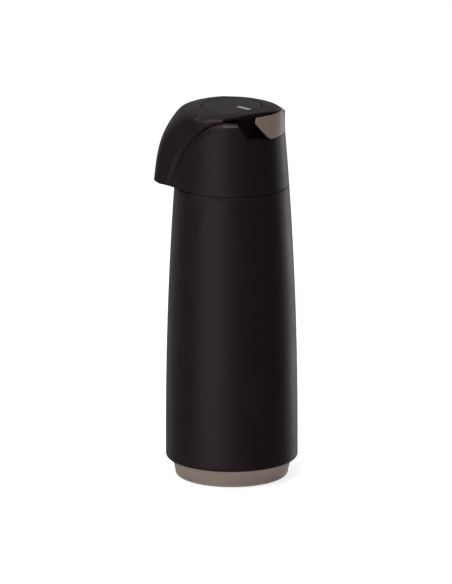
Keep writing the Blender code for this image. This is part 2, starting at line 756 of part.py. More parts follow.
def grip_mesh(name, arch):
    """Band round the back between the cone below and the hood's tail above: the grip, or the
    black arch that carries it."""
    columns = 12
    rows = 6
    low = RECESS_FLOOR - WELL_WALL / 2 if arch else RECESS_FLOOR + GAP
    high = PARTING - GAP if arch else GRIP_TOP
    depth = GRIP_THICKNESS + ARCH_GAP if arch else 0.0
    thickness = ARCH_THICKNESS if arch else GRIP_THICKNESS
    narrow = ARCH_INSET if arch else 0.0
    rings = []
    for row in range(rows + 1):
        height = low + (high - low) * row / rows
        share = max(0.0, min(1.0, (height - RECESS_FLOOR) / (GRIP_TOP - RECESS_FLOOR)))
        widest = min(1.0, share / GRIP_TURN_SHARE)
        limit = GRIP_ANGLE_LOW + (GRIP_ANGLE_HIGH - GRIP_ANGLE_LOW) * widest - narrow
        if share > GRIP_TURN_SHARE:
            limit -= GRIP_TOP_TAPER * (share - GRIP_TURN_SHARE) / (1.0 - GRIP_TURN_SHARE)
        outside = []
        inside = []
        for column in range(columns + 1):
            angle = limit * (2 * column / columns - 1)
            radius = grip_radius(angle, share) - depth
            direction = Vector((math.sin(angle), math.cos(angle), 0.0))
            up = Vector((0.0, 0.0, height))
            outside.append(direction * radius + up)
            inside.append(direction * (radius - thickness) + up)
        rings.append(outside + inside[::-1])
    return rings_mesh(name, rings)


def grip_radius(angle, share):
    """Outside of the grip: the cone at its foot, drawn in to the hood's tail at its top."""
    cone = outer_radius(RECESS_FLOOR)
    tail = tail_radius(angle, GRIP_OFFSET)
    return cone + (tail - cone) * share**GRIP_LEAN


def make_rear_grip(parent):
    return add_object("rear_grip", grip_mesh("rear_grip", False), TAUPE_PLASTIC, parent)


# ---------------------------------------------------------------- head internals


def make_underplate(parent):
    """Plate that closes the head from below; its skirt screws on to the collar's neck."""
    level = HEAD_BOTTOM + SPOUT_RISE
    inset = HEAD_WALL + GAP + UNDERPLATE_PLAY
    outline = teardrop(outer_radius(level) - inset, SPOUT_REACH - inset)
    high = UNDERPLATE_BOTTOM + UNDERPLATE
    mesh = prism_mesh("head_underplate", outline, UNDERPLATE_BOTTOM, high, "Z")
    plate = add_object("head_underplate", mesh, BLACK_PLASTIC, parent)
    bore = NECK_INNER + NECK_WALL + RUNNING_GAP
    skirt_top = NECK_TOP + SKIRT_RISE
    skirt_profile = ring_profile(bore - MM, bore + SKIRT_WALL, high - MM, skirt_top)
    skirt = add_cutter("skirt", turned_mesh("skirt", skirt_profile, LARGE_STEPS), parent)
    cut(plate, skirt, "UNION")
    cut(plate, round_cutter("neck_bore", bore, HEAD_BOTTOM - PAST, skirt_top + PAST, parent))
    place = (0.0, -NOZZLE_REACH, 0.0)
    hole_radius = NOZZLE_RADIUS + GAP
    hole = round_cutter("nozzle_hole", hole_radius, HEAD_BOTTOM - PAST / 2, high + PAST / 2, parent, place, 20)
    cut(plate, hole)
    return plate


def make_nozzle(parent):
    flange = NOZZLE_RADIUS + NOZZLE_FLANGE_REACH
    seat = UNDERPLATE_BOTTOM + UNDERPLATE + GAP
    profile = [
        (flange, seat + NOZZLE_FLANGE),
        (flange, seat),
        (NOZZLE_RADIUS, seat),
        (NOZZLE_RADIUS, NOZZLE_BOTTOM),
        (NOZZLE_BORE, NOZZLE_BOTTOM),
        (NOZZLE_BORE, NOZZLE_TOP),
        (NOZZLE_RADIUS, NOZZLE_TOP),
        (NOZZLE_RADIUS, seat + NOZZLE_FLANGE),
    ]
    mesh = turned_mesh("spout_nozzle", profile, 20)
    return add_object("spout_nozzle", mesh, BLACK_PLASTIC, parent, (0.0, -NOZZLE_REACH, 0.0))


def make_outlet_pipe(parent):
    """Pipe from the valve housing to the nozzle, level and then bent down."""
    bend = PIPE_HEIGHT - NOZZLE_TOP - GAP
    straight_start = -(STEM_RADIUS + GAP)
    straight_end = -(NOZZLE_REACH - bend)
    middle = (straight_start + straight_end) / 2
    path = [Vector((0.0, y, PIPE_HEIGHT)) for y in (straight_start, middle, straight_end)]
    for i in range(1, 7):
        angle = math.pi / 2 * i / 6
        forward = straight_end - bend * math.sin(angle)
        height = PIPE_HEIGHT - bend * (1.0 - math.cos(angle))
        path.append(Vector((0.0, forward, height)))
    rings = tube_rings(path, PIPE_RADIUS, PIPE_RADIUS - PIPE_WALL, 12)
    return add_object("outlet_pipe", rings_mesh("outlet_pipe", rings, loop=True), NATURAL_PLASTIC, parent)


def make_valve_housing(parent):
    """Stem with the dip tube's socket below, a flange on the gasket and the ball's chamber above."""
    top = PLATE_BOTTOM - GAP
    socket = TUBE_RADIUS + GAP
    profile = [
        (STEM_RADIUS, top),
        (STEM_RADIUS, STEM_FLANGE_TOP),
        (NECK_INNER - RUNNING_GAP, STEM_FLANGE_TOP),
        (NECK_INNER - RUNNING_GAP, STEM_FLANGE_TOP - STEM_FLANGE),
        (STEM_RADIUS, STEM_FLANGE_TOP - STEM_FLANGE),
        (STEM_RADIUS - STEM_DRAFT, STEM_BOTTOM),
        (socket, STEM_BOTTOM),
        (socket, BALL_SEAT - SEAT_LENGTH),
        (SEAT_HOLE, BALL_SEAT - SEAT_LENGTH),
        (SEAT_HOLE, BALL_SEAT - SEAT_DEPTH),
        (STEM_BORE, BALL_SEAT),
        (STEM_BORE, top),
    ]
    mesh = turned_mesh("valve_housing", profile, SMALL_STEPS)
    housing = add_object("valve_housing", mesh, NATURAL_PLASTIC, parent)
    port = rod_cutter("outlet_port", PIPE_RADIUS - PIPE_WALL, parent)
    cut(housing, port)
    return housing


def rod_cutter(name, radius, parent):
    """Bore that leads from the ball's chamber forward into the outlet pipe."""
    rings = []
    for y in (0.0, -0.015):
        ring = []
        for k in range(12):
            angle = math.tau * k / 12
            ring.append((radius * math.cos(angle), y, PIPE_HEIGHT + radius * math.sin(angle)))
        rings.append(ring)
    return add_cutter(name, rings_mesh(name, rings), parent)


def make_check_ball(parent):
    """Ball that closes the stem when the pot is tipped or the bellows refills."""
    height = BALL_SEAT - SEAT_DEPTH + math.sqrt(BALL_RADIUS**2 - SEAT_HOLE**2) + GAP
    shape = bmesh.new()
    bmesh.ops.create_uvsphere(shape, u_segments=14, v_segments=9, radius=BALL_RADIUS)
    mesh = closed_mesh("check_ball", shape)
    return add_object("check_ball", mesh, STEEL, parent, (0.0, 0.0, height))


def make_dip_tube(parent):
    top = BALL_SEAT - SEAT_LENGTH - GAP
    mesh = turned_mesh("dip_tube", ring_profile(TUBE_RADIUS - TUBE_WALL, TUBE_RADIUS, TUBE_BOTTOM, top), 16)
    return add_object("dip_tube", mesh, NATURAL_PLASTIC, parent)


def make_pump_plate(parent):
    high = PLATE_BOTTOM + PLATE_THICKNESS
    radius = outer_radius(high) - HEAD_WALL - PLATE_PLAY
    rim_inner = BUTTON_HOLE + PLATE_RIM_PLAY
    rim_high = SLEEVE_BOTTOM - GAP
    profile = [
        (radius, high),
        (radius, PLATE_BOTTOM),
        (0.0, PLATE_BOTTOM),
        (0.0, high),
        (rim_inner, high),
        (rim_inner, rim_high),
        (rim_inner + SLEEVE_WALL, rim_high),
        (rim_inner + SLEEVE_WALL, high),
    ]
    mesh = turned_mesh("pump_plate", profile, LARGE_STEPS)
    plate = add_object("pump_plate", mesh, NATURAL_PLASTIC, parent)
    low = PLATE_BOTTOM - PAST / 2
    for i in range(SCREW_COUNT):
        name = f"screw_hole_{i + 1}"
        cut(plate, round_cutter(name, SCREW_RADIUS + GAP, low, high + MM, parent, screw_place(i), 12))
    for i in range(2):
        place = (AIR_HOLE_PLACE * (1 - 2 * i), 0.0, 0.0)
        name = f"air_hole_{i + 1}"
        cut(plate, round_cutter(name, AIR_HOLE_RADIUS, low, high + MM, parent, place, 10))
    return plate


def make_head_screws(parent):
    head_high = PLATE_BOTTOM - GAP
    profile = [
        (SCREW_RADIUS, head_high + SCREW_LENGTH),
        (SCREW_RADIUS, head_high),
        (SCREW_HEAD_RADIUS, head_high),
        (SCREW_HEAD_RADIUS, head_high - SCREW_HEAD * 0.7),
        (SCREW_HEAD_EDGE, head_high - SCREW_HEAD),
        (0.0, head_high - SCREW_HEAD),
        (0.0, head_high + SCREW_LENGTH),
    ]
    mesh = turned_mesh("head_screw", profile, 12)
    for i in range(SCREW_COUNT):
        add_object(f"head_screw_{i + 1}", mesh.copy(), STEEL, parent, screw_place(i))


def make_bellows(parent):
    low = PLATE_BOTTOM + PLATE_THICKNESS + GAP
    high = BELLOWS_TOP - GAP
    fold = (high - low) / (2 * BELLOWS_FOLDS)
    outside = []
    for i in range(2 * BELLOWS_FOLDS + 1):
        radius = BELLOWS_OUTER if i % 2 == 0 else BELLOWS_INNER
        outside.append((radius, high - i * fold))
    inside = [(radius - BELLOWS_WALL, height) for radius, height in reversed(outside)]
    mesh = turned_mesh("bellows", outside + inside, SMALL_STEPS)
    return add_object("bellows", mesh, CLEAR_RUBBER, parent)


def make_return_spring(parent):
    low = PLATE_BOTTOM + PLATE_THICKNESS + GAP + SPRING_WIRE
    high = BELLOWS_TOP - GAP - SPRING_WIRE
    steps = SPRING_TURNS * 12
    sides = 5
    rings = []
    for i in range(steps + 1):
        share = i / steps
        angle = math.tau * SPRING_TURNS * share
        outward = Vector((math.cos(angle), math.sin(angle), 0.0))
        centre = outward * SPRING_RADIUS + Vector((0.0, 0.0, low + (high - low) * share))
        ring = []
        for k in range(sides):
            turn = math.tau * k / sides
            upward = Vector((0.0, 0.0, math.sin(turn)))
            ring.append(centre + SPRING_WIRE * (outward * math.cos(turn) + upward))
        rings.append(ring)
    return add_object("return_spring", rings_mesh("return_spring", rings), STEEL, parent)


# ---------------------------------------------------------------- button


def make_lock_sleeve(parent):
    """Sleeve that guides the button and turns with it to lock."""
    bore = BUTTON_RADIUS + RUNNING_GAP
    high = PARTING - 2 * GAP
    profile = ring_profile(bore, bore + SLEEVE_WALL, SLEEVE_BOTTOM, high)
    mesh = turned_mesh("lock_sleeve", profile, LARGE_STEPS)
    sleeve = add_object("lock_sleeve", mesh, NATURAL_PLASTIC, parent)
    width = KEY_WIDTH + 2 * RUNNING_GAP
    low = TOP - BUTTON_DEPTH - STROKE
    size = (2 * (BUTTON_RADIUS + PAST), width, high - low + SLOT_END)
    slot = box_cutter("key_slots", size, (low + high + SLOT_END) / 2, parent)
    cut(sleeve, slot)
    return sleeve


def box_cutter(name, size, height, parent):
    shape = bmesh.new()
    bmesh.ops.create_cube(shape, size=1.0, matrix=Matrix.Diagonal((*size, 1.0)))
    return add_cutter(name, closed_mesh(name, shape), parent, (0.0, 0.0, height))


def make_press_button(parent):
    low = TOP - BUTTON_DEPTH
    inner = BUTTON_RADIUS - BUTTON_WALL
    post = BUTTON_POST
    post_low = BELLOWS_TOP + CAP_THICKNESS + GAP
    profile = [
        (BUTTON_RADIUS - BUTTON_EDGE, TOP),
        (BUTTON_RADIUS, TOP - BUTTON_EDGE),
        (BUTTON_RADIUS, low),
        (inner, low),
        (inner, TOP - BUTTON_WALL),
        (post + BUTTON_WALL, TOP - BUTTON_WALL),
        (post + BUTTON_WALL, post_low),
        (post, post_low),
        (post, TOP - BUTTON_WALL),
        (0.0, TOP - BUTTON_WALL),
        (0.0, TOP),
    ]
    mesh = turned_mesh("press_button", profile, LARGE_STEPS)
    button = add_object("press_button", mesh, BLACK_PLASTIC, parent)
    reach = BUTTON_RADIUS + KEY_REACH
    root = inner + KEY_ROOT
    size = (reach - root, KEY_WIDTH, KEY_HEIGHT)
    for i in range(2):
        side = 1 - 2 * i
        key = box_cutter(f"key_{i + 1}", size, low + KEY_HEIGHT / 2 + KEY_LIFT, parent)
        key.location.x = side * (reach + root) / 2
        cut(button, key, "UNION")
    groove = pointer_mesh("pointer_groove", GAP, TOP - POINTER_DEPTH - GAP, TOP + MM)
    cut(button, add_cutter("pointer_groove", groove, parent))
    return button


def pointer_mesh(name, grow, low, high):
    half = POINTER_WIDTH / 2 + grow
    start = POINTER_START - grow
    end = POINTER_END + grow
    turn = Matrix.Rotation(POINTER_ANGLE, 2)
    corners = ((start, -half), (end, -half), (end, half), (start, half))
    outline = [turn @ Vector(corner) for corner in corners]
    return prism_mesh(name, [tuple(corner) for corner in outline], low, high, "Z")


def make_pointer_bar(parent):
    mesh = pointer_mesh("pointer_bar", 0.0, TOP - POINTER_DEPTH, TOP + POINTER_PROUD)
    return add_object("pointer_bar", mesh, GREY_INLAY, parent)


def make_bellows_cap(parent):
    """Lid of the bellows, with the intake hole and the cage that holds the valve disc."""
    cage_bore = VALVE_DISC_RADIUS + RUNNING_GAP
    cage_low = BELLOWS_TOP - CAGE_DEPTH
    lip = VALVE_DISC_RADIUS - CAGE_WALL
    high = BELLOWS_TOP + CAP_THICKNESS
    profile = [
        (BUTTON_RADIUS - BUTTON_WALL - RUNNING_GAP, high),
        (BUTTON_RADIUS - BUTTON_WALL - RUNNING_GAP, BELLOWS_TOP),
        (cage_bore + CAGE_WALL, BELLOWS_TOP),
        (cage_bore + CAGE_WALL, cage_low),
        (lip, cage_low),
        (lip, cage_low + CAGE_LIP),
        (cage_bore, cage_low + CAGE_LIP),
        (cage_bore, BELLOWS_TOP),
        (INTAKE_RADIUS, BELLOWS_TOP),
        (INTAKE_RADIUS, high),
    ]
    mesh = turned_mesh("bellows_cap", profile, SMALL_STEPS)
    return add_object("bellows_cap", mesh, NATURAL_PLASTIC, parent)


def make_intake_valve(parent):
    low = BELLOWS_TOP - CAGE_DEPTH + CAGE_LIP + GAP
    profile = ring_profile(0.0, VALVE_DISC_RADIUS, low, low + VALVE_DISC)
    mesh = turned_mesh("intake_valve_disc", profile, 20)
    return add_object("intake_valve_disc", mesh, CLEAR_RUBBER, parent)


# ---------------------------------------------------------------- assembly


def main():
    clear_scene()
    base = add_empty("base_axis")
    casing = add_empty("casing_axis", base)
    seal = add_empty("seal_axis", casing)
    head = add_empty("head_axis", seal)
    sleeve = add_empty("sleeve_axis", head)
    button = add_empty("button_axis", sleeve)

    make_base_cup(base)
    make_foot_ring(base)
    make_flask_cushion(base)

    make_outer_casing(casing)
    make_shoulder_collar(casing)
    make_flask(casing)
    make_flask_spacers(casing)
    make_neck_cushion(casing)
    make_head_gasket(seal)

    make_head_shell(head)
    make_hood(head)
    make_rear_grip(head)
    make_underplate(head)
    make_nozzle(head)
    make_outlet_pipe(head)
    make_valve_housing(head)
    make_check_ball(head)
    make_dip_tube(head)
    make_pump_plate(head)
    make_head_screws(head)
    make_bellows(head)
    make_return_spring(head)

    make_lock_sleeve(sleeve)
    make_press_button(button)
    make_pointer_bar(button)
    make_bellows_cap(button)
    make_intake_valve(button)


main()
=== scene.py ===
"""Pump airpot: matte black tapered casing, taupe base cup and rear grip, spouted pump head."""

import math

import bmesh
import bpy
import numpy as np
from mathutils import Matrix, Vector


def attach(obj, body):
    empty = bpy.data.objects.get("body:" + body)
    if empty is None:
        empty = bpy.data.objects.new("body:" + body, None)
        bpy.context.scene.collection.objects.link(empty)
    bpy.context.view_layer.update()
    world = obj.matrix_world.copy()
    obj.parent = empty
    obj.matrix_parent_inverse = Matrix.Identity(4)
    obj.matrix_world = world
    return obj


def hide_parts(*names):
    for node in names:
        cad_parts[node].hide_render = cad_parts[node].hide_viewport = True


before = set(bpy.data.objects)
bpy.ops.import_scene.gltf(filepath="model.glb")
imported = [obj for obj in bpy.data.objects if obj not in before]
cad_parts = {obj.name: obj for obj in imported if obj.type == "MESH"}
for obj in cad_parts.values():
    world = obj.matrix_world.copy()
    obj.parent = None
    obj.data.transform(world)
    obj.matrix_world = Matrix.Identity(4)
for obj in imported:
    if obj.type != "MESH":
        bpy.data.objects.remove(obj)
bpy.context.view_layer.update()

MM = 0.001

# Outside form of the pot
CASING_RADIUS = 58.4
CASING_LOW = 16.4
CASING_HIGH = 264.4
TAPER_START = 40.0
TAPER_ARC = 3290.0
HEAD_LOW = 264.9
SPOUT_REACH = 68.7
SPOUT_RISE = 3.8
TIP_HEIGHT = HEAD_LOW + SPOUT_RISE
WEDGE = math.radians(42)
CREST_RADIUS = 45.3
CREST_HEIGHT = 333.6
SPINE = ((SPOUT_REACH, TIP_HEIGHT), (65.7, 298.8), (62.7, 314.2), (CREST_RADIUS, CREST_HEIGHT))
TOP = 336.4
HOLE_RADIUS = 27.0
PARTING = 331.0
RIDGE = ((56.5, 262.0), (54.5, 290.0), (33.0, 328.0), (5.0, PARTING))
TAIL = ((-8.2, 44.3), (0.8, 35.3), (42.2, 25.0), (42.2, 0.0))
TAIL_FRONT = TAIL[0][0]
RECESS_FLOOR = 313.2
RECESS_FRONT = 4.0
RECESS_SLOPE = 0.63
FLOOR_START = RECESS_FRONT + RECESS_SLOPE * (PARTING - RECESS_FLOOR)
WELL_RADIUS = 31.5
WALL = 2.2
CASING_WALL = 2.0

# Base
BASE_RADIUS = 49.3
NECK_RADIUS = 53.7
NECK_INSIDE = 51.3
NECK_HIGH = 30.0
CUP_FLOOR = 4.7
FOOT_INNER = 36.0
FOOT_OUTER = 43.0
FOOT_DEPTH = 1.4

# Parting between hood and shell
SEAT_GAP = 0.15
CREST_ROUND = 4.5
LEDGE_SIDE = 4.0
LEDGE_FRONT = 6.5
TAIL_DROP = 0.66  # how far the hood's edge lies below the level parting where the tail starts

# Grip
GRIP_TOP = 332.2
GRIP_THICKNESS = 2.0
GRIP_OFFSET = 3.0
GRIP_LOW_ANGLE = 44
GRIP_SPREAD = 14
GRIP_TURN = 0.75  # share of its height at which the grip is widest
ARCH_TOP = 330.7
ARCH_THICKNESS = 2.8

# Button and pointer
BUTTON_RADIUS = 26.2
BUTTON_DEPTH = 20.0
BUTTON_WALL = 1.8
BUTTON_EDGE = 0.9
POST_RADIUS = 12.8
POST_BORE = 11.0
POST_LOW = 320.3
POINTER_START = 7.5
POINTER_END = 22.9
POINTER_WIDTH = 3.8


# ---------------------------------------------------------------- materials


def linear(hex_colour):
    """Six-digit sRGB hex to a linear colour with full alpha."""
    out = []
    for i in (0, 2, 4):
        value = int(hex_colour[i : i + 2], 16) / 255
        out.append(value / 12.92 if value <= 0.04045 else ((value + 0.055) / 1.055) ** 2.4)
    return (*out, 1.0)


def add_node(tree, kind, settings=None, inputs=None, links=None):
    """Add a node, set its properties and sockets, and link other nodes' outputs into it."""
    made = tree.nodes.new(kind)
    for name, value in (settings or {}).items():
        setattr(made, name, value)
    for name, value in (inputs or {}).items():
        made.inputs[name].default_value = value
    for name, output in (links or {}).items():
        tree.links.new(output, made.inputs[name])
    return made


def moulded(name, dark, light, rough, grain_mm, grain_depth, patch_mm=35.0, tint="ffffff", ior=1.49):
    """A moulded surface: spark-eroded grain of a real size, slow drift of tone, and a few rubbed patches."""
    material = bpy.data.materials.new(name)
    material.use_nodes = True
    tree = material.node_tree
    shader = tree.nodes["Principled BSDF"]
    place = add_node(tree, "ShaderNodeTexCoord").outputs["Object"]
    patches = add_node(
        tree,
        "ShaderNodeTexNoise",
        None,
        {"Scale": 1000 / patch_mm, "Detail": 3.0, "Roughness": 0.55},
        {"Vector": place},
    )
    grain = add_node(
        tree,
        "ShaderNodeTexNoise",
        None,
        {"Scale": 1000 / grain_mm, "Detail": 4.0, "Roughness": 0.6},
        {"Vector": place},
    )
    pits = add_node(
        tree,
        "ShaderNodeTexVoronoi",
        {"feature": "SMOOTH_F1"},
        {"Scale": 1000 / (grain_mm * 1.6), "Randomness": 1.0},
        {"Vector": place},
    )
    tone = add_node(
        tree,
        "ShaderNodeMapRange",
        None,
        {"From Min": 0.3, "From Max": 0.7},
        {"Value": patches.outputs["Fac"]},
    )
    fleck = add_node(
        tree,
        "ShaderNodeMath",
        {"operation": "MULTIPLY_ADD"},
        {1: 0.35, 2: 0.0},
        {0: grain.outputs["Fac"]},
    )
    mixed_tone = add_node(
        tree,
        "ShaderNodeMath",
        {"operation": "MULTIPLY_ADD", "use_clamp": True},
        {1: 0.6},
        {0: tone.outputs["Result"], 2: fleck.outputs["Value"]},
    )
    colour = add_node(
        tree,
        "ShaderNodeMix",
        {"data_type": "RGBA"},
        None,
        {"Factor": mixed_tone.outputs["Value"]},
    )
    colour.inputs["A"].default_value = linear(dark)
    colour.inputs["B"].default_value = linear(light)
    tree.links.new(colour.outputs["Result"], shader.inputs["Base Color"])
    gloss = add_node(
        tree,
        "ShaderNodeMapRange",
        None,
        {"From Min": 0.3, "From Max": 0.7, "To Min": rough - 0.04, "To Max": rough + 0.05},
        {"Value": patches.outputs["Fac"]},
    )
    tree.links.new(gloss.outputs["Result"], shader.inputs["Roughness"])
    height = add_node(
        tree,
        "ShaderNodeMath",
        {"operation": "ADD"},
        None,
        {0: grain.outputs["Fac"], 1: pits.outputs["Distance"]},
    )
    bump = add_node(
        tree,
        "ShaderNodeBump",
        None,
        {"Strength": 0.35, "Distance": grain_depth * MM},
        {"Height": height.outputs["Value"]},
    )
    tree.links.new(bump.outputs["Normal"], shader.inputs["Normal"])
    shader.inputs["IOR"].default_value = ior
    shader.inputs["Specular Tint"].default_value = linear(tint)
    return material


def turned_metal(name, tone, rough, groove_mm):
    """Metal with fine drawing marks along its length."""
    material = bpy.data.materials.new(name)
    material.use_nodes = True
    tree = material.node_tree
    shader = tree.nodes["Principled BSDF"]
    place = add_node(tree, "ShaderNodeTexCoord").outputs["Object"]
    marks = add_node(
        tree, "ShaderNodeTexNoise", None, {"Scale": 1000 / groove_mm, "Detail": 3.0}, {"Vector": place}
    )
    rough_range = add_node(
        tree,
        "ShaderNodeMapRange",
        None,
        {"To Min": rough * 0.8, "To Max": rough * 1.3},
        {"Value": marks.outputs["Fac"]},
    )
    tree.links.new(rough_range.outputs["Result"], shader.inputs["Roughness"])
    bump = add_node(
        tree,
        "ShaderNodeBump",
        None,
        {"Strength": 0.15, "Distance": 0.02 * MM},
        {"Height": marks.outputs["Fac"]},
    )
    tree.links.new(bump.outputs["Normal"], shader.inputs["Normal"])
    shader.inputs["Base Color"].default_value = linear(tone)
    shader.inputs["Metallic"].default_value = 1.0
    return material


# Polypropylene from a spark-eroded tool: a warm near-black with a wide soft gloss, its grain 0.45 mm.
BLACK = moulded("matte black moulded polypropylene", "150f11", "1b1416", 0.46, 0.45, 0.05, tint="ffe4ec")
# The same polypropylene in taupe, from a slightly smoother tool.
TAUPE = moulded("satin taupe moulded polypropylene", "7f7067", "8b7b72", 0.42, 0.5, 0.04)
# Uncoloured polypropylene of the parts inside.
NATURAL = moulded("natural moulded polypropylene", "d2d2cb", "dedcd6", 0.4, 0.6, 0.03)
# Pressed-in light grey plastic bar.
INLAY = moulded("light grey moulded inlay", "a8a5a3", "b8b5b3", 0.38, 0.4, 0.03)
# Dull rubber of the foot.
RUBBER = moulded("dark moulded rubber", "1b1b1b", "242424", 0.8, 0.8, 0.08, ior=1.52)
# Milky silicone of cushions, gasket, bellows and disc.
SILICONE = moulded("translucent moulded silicone", "c4c0b6", "d2cec6", 0.5, 1.2, 0.04, ior=1.41)
# Drawn steel of screws, spring and ball.
STEEL = turned_metal("drawn stainless steel", "c0c0c2", 0.25, 0.3)
# Glass silvered on the vacuum side, which reads as a mirror.
GLASS = turned_metal("silvered blown glass", "dcdee2", 0.08, 6.0)

FINISH = {
    "black_plastic": BLACK,
    "taupe_plastic": TAUPE,
    "natural_plastic": NATURAL,
    "grey_inlay": INLAY,
    "dark_rubber": RUBBER,
    "clear_rubber": SILICONE,
    "steel": STEEL,
    "silvered_glass": GLASS,
}


# ---------------------------------------------------------------- form of the pot


def outer_radius(height):
    return CASING_RADIUS - max(0.0, height - TAPER_START) ** 2 / (2 * TAPER_ARC)


def bezier(corners, share):
    a, b, c, d = (Vector(corner) for corner in corners)
    rest = 1.0 - share
    return a * rest**3 + b * 3 * rest**2 * share + c * 3 * rest * share**2 + d * share**3


def spine_reach(height):
    low, high = 0.0, 1.0
    for _ in range(36):
        middle = (low + high) / 2
        if bezier(SPINE, middle)[1] < height:
            low = middle
        else:
            high = middle
    return bezier(SPINE, low)[0]


def ridge_height(forward):
    """Height of the parting between hood and shell at a distance in front of the axis."""
    if forward <= RIDGE[3][0]:
        return PARTING
    if forward >= RIDGE[0][0]:
        return 0.0
    low, high = 0.0, 1.0
    for _ in range(36):
        middle = (low + high) / 2
        if bezier(RIDGE, middle)[0] > forward:
            low = middle
        else:
            high = middle
    return bezier(RIDGE, low)[1]


def skin_point(turn, level):
    """Point on the head's outside. Turn runs 0-1 round the nose, 1-2 along the flank, 2-3 round the back."""
    nominal = max(level, TIP_HEIGHT)
    fade = 1.0 - (nominal - TIP_HEIGHT) / (CREST_HEIGHT - TIP_HEIGHT)
    radius = outer_radius(nominal)
    reach = spine_reach(nominal)
    centre = max(0.0, (reach - radius) / (1.0 - math.sin(WEDGE)))
    nose = reach - centre
    tangent = math.pi / 2 - WEDGE
    if turn <= 1.0:
        x, y = nose * math.sin(tangent * turn), -centre - nose * math.cos(tangent * turn)
    elif turn <= 2.0:
        first = Vector((nose * math.sin(tangent), -centre - nose * math.cos(tangent)))
        last = Vector((radius * math.sin(tangent), -radius * math.cos(tangent)))
        x, y = first.lerp(last, turn - 1.0)
    else:
        angle = tangent + (math.pi - tangent) * (turn - 2.0)
        x, y = radius * math.sin(angle), -radius * math.cos(angle)
    round_start = radius * math.sin(WEDGE)
    share = min(1.0, (reach + y) / (reach - round_start)) if reach > round_start + 0.01 else 1.0
    height = level - SPOUT_RISE * fade * max(0.0, share)
    swell = 1.0 + (outer_radius(height) / radius - 1.0) * max(0.0, share) ** 2
    return Vector((x * swell, y * swell, height))


def cut_height(y):
    """Top edge of the shell in side view: ridge, level parting, the recess's leaning front, its floor."""
    if y < RECESS_FRONT:
        return ridge_height(-y)
    return max(RECESS_FLOOR, PARTING - (y - RECESS_FRONT) / RECESS_SLOPE)


def crossing(turn, height_of, low=TIP_HEIGHT, high=CREST_HEIGHT):
    """Level at which a column of the skin meets an edge, or None where it starts above it."""
    start = skin_point(turn, low)
    if start.z >= height_of(start.y):
        return None
    for _ in range(34):
        middle = (low + high) / 2
        point = skin_point(turn, middle)
        if point.z < height_of(point.y):
            low = middle
        else:
            high = middle
    return low


def tail_point(share, offset=0.0):
    here = bezier(TAIL, share)
    along = (bezier(TAIL, min(1.0, share + 0.01)) - bezier(TAIL, max(0.0, share - 0.01))).normalized()
    return Vector((here[1] + offset * along[0], here[0] - offset * along[1]))


def tail_radius(angle, offset):
    edge = [tail_point(i / 60, offset) for i in range(61)]
    for near, far in zip(edge, edge[1:]):
        first, second = math.atan2(near.x, near.y), math.atan2(far.x, far.y)
        if second <= abs(angle) <= first:
            share = (first - abs(angle)) / max(first - second, 1e-9)
            return near.lerp(far, share).length
    return edge[0].length


def crown_height(radius):
    """Height of the shallow crown at a distance from the axis, eased at the crest."""
    share = max(0.0, min(1.0, (CREST_RADIUS - radius) / (CREST_RADIUS - HOLE_RADIUS)))
    return CREST_HEIGHT + (TOP - CREST_HEIGHT) * (1.0 - (1.0 - share) ** 1.35)


# ---------------------------------------------------------------- making meshes


def finish_piece(piece, material, body, slot, *nodes, smooth=40):
    """Smooth the piece, give it its material, and let it ride in place of its CAD nodes."""
    piece.data.materials.clear()
    piece.data.materials.append(material)
    bpy.ops.object.select_all(action="DESELECT")
    piece.select_set(True)
    bpy.context.view_layer.objects.active = piece
    bpy.ops.object.shade_smooth_by_angle(angle=math.radians(smooth))
    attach(piece, body)
    if nodes:
        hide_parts(*nodes)
    return piece


def turned(name, outline, steps):
    """Draw a closed outline point by point beside the axis, spin it full circle and weld it."""
    bpy.ops.object.select_all(action="DESELECT")
    bpy.ops.mesh.primitive_plane_add(size=MM)
    piece = bpy.context.object
    piece.name = piece.data.name = name
    bpy.ops.object.mode_set(mode="EDIT")
    bpy.ops.mesh.select_mode(type="VERT")
    bpy.ops.mesh.select_all(action="SELECT")
    bpy.ops.mesh.merge(type="CENTER")
    last = Vector((outline[0][0], 0.0, outline[0][1])) * MM
    bpy.ops.transform.translate(value=last)
    for radius, height in [*outline[1:], outline[0]]:
        here = Vector((radius, 0.0, height)) * MM
        bpy.ops.mesh.extrude_region_move(TRANSFORM_OT_translate={"value": here - last})
        last = here
    bpy.ops.mesh.select_all(action="SELECT")
    bpy.ops.mesh.remove_doubles(threshold=0.001 * MM)
    bpy.ops.mesh.select_all(action="SELECT")
    bpy.ops.mesh.spin(steps=steps, angle=math.tau, center=(0, 0, 0), axis=(0, 0, 1))
    bpy.ops.mesh.select_all(action="SELECT")
    bpy.ops.mesh.remove_doubles(threshold=0.001 * MM)
    bpy.ops.mesh.delete_loose(use_verts=True, use_edges=True, use_faces=False)
    bpy.ops.mesh.select_all(action="SELECT")
    bpy.ops.mesh.normals_make_consistent(inside=False)
    bpy.ops.object.mode_set(mode="OBJECT")
    return piece


def corner(centre, radius, start, end, steps=5):
    """Points of a rounded corner, angles in degrees from the outward direction."""
    points = []
    for i in range(steps + 1):
        angle = math.radians(start + (end - start) * i / steps)
        points.append((centre[0] + radius * math.cos(angle), centre[1] + radius * math.sin(angle)))
    return points


